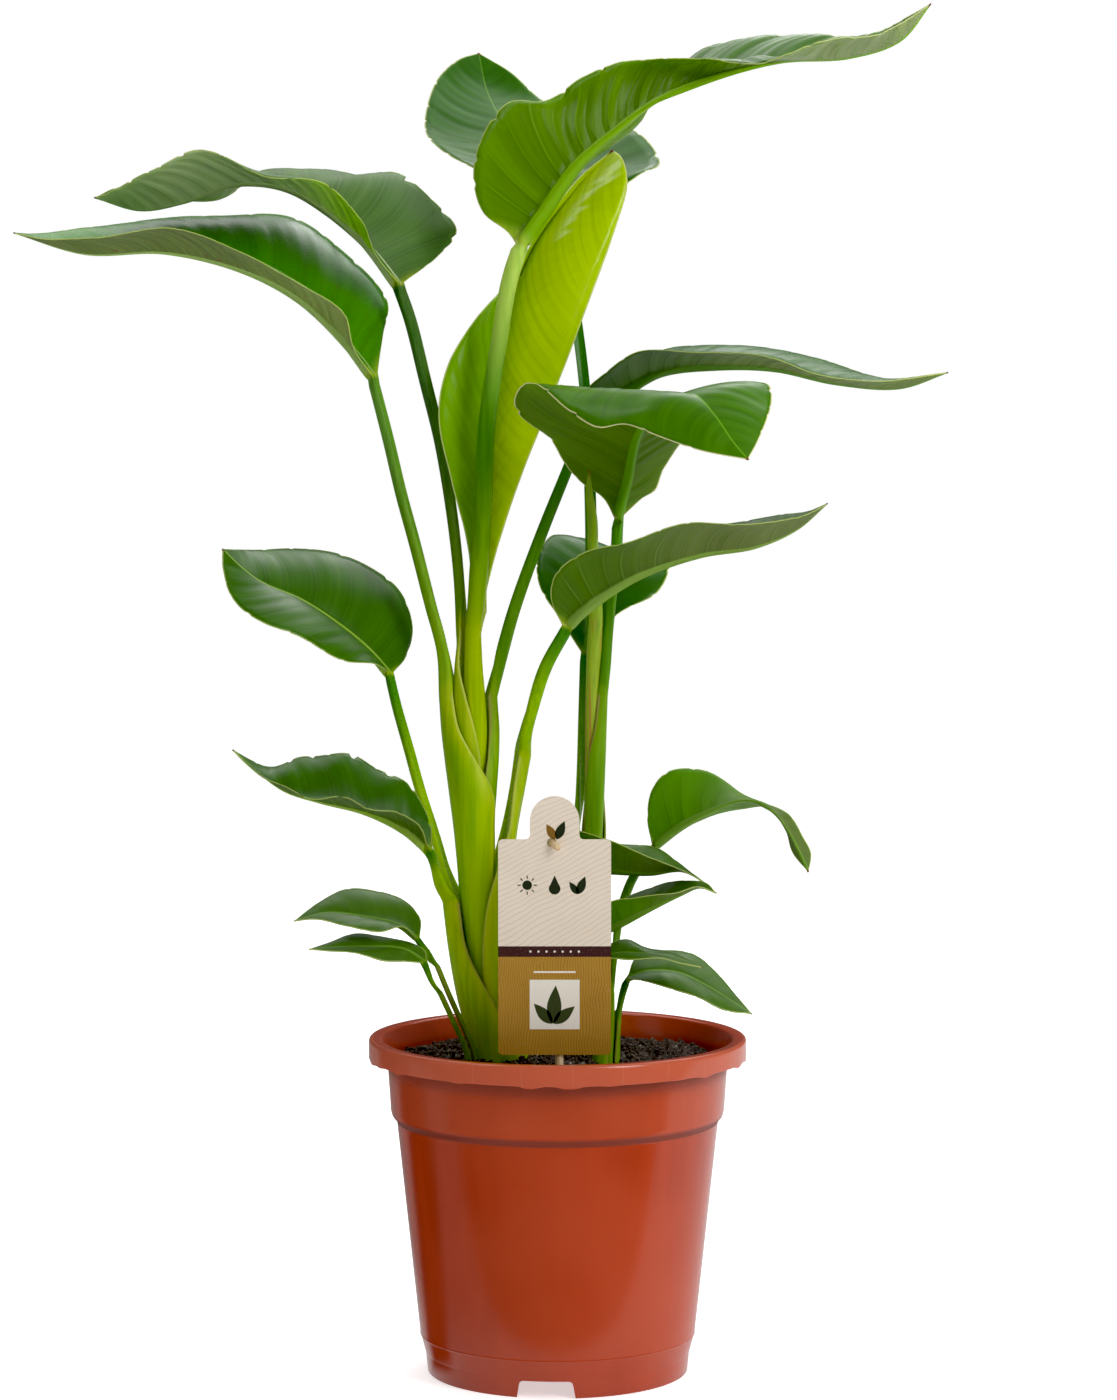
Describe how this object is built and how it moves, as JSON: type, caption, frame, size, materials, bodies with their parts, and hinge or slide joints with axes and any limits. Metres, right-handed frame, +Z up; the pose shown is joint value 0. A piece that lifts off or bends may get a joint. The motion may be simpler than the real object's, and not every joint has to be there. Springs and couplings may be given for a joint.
{
  "type": "potted giant white bird of paradise plant",
  "caption": "Young giant white bird of paradise plant: paddle leaves on clasping stalks rise from peat in a round nursery pot, with a plant label on a stick.",
  "frame": {"origin": "middle of the whole object's box, seen from above, at the height of the pot's foot", "axes": "+Z up from the pot's foot, along the longest extent; +X to the right and +Y away from the viewer who faces the label"},
  "size_m": [0.5824, 0.321, 0.8604],
  "materials": {
    "pot": "thermoformed terracotta-red plastic, satin gloss",
    "soil": "dark peat with grey and white grains, matt",
    "label": "printed stiff card, cream over ochre brown, matt",
    "stick": "round pale wooden stick, unfinished",
    "leaf": "living leaf, waxy green with parallel side veins",
    "young_leaf": "young yellow-green leaf, waxy and shiny"
  },
  "bodies": {
    "root": {"pot": "pot", "soil": "soil", "label": "label", "label_stick": "stick", "leaf_top": "leaf", "leaf_left_upper": "leaf", "leaf_right_upper": "leaf", "leaf_left_large": "leaf", "leaf_left_lower": "leaf", "leaf_right_lower": "leaf", "leaf_left_bottom": "leaf", "leaf_unrolling": "young_leaf", "leaf_right_arched": "leaf", "leaf_back_top": "leaf", "leaf_back_lower": "leaf", "leaf_rolled_spear": "young_leaf", "sucker_left_leaf_upper": "leaf", "sucker_left_leaf_lower": "leaf", "sucker_right_leaf_top": "leaf", "sucker_right_leaf_upper": "leaf", "sucker_right_leaf_middle": "leaf", "sucker_right_leaf_lower": "leaf", "sucker_right_leaf_bottom": "leaf"}
  },
  "joints": []
}
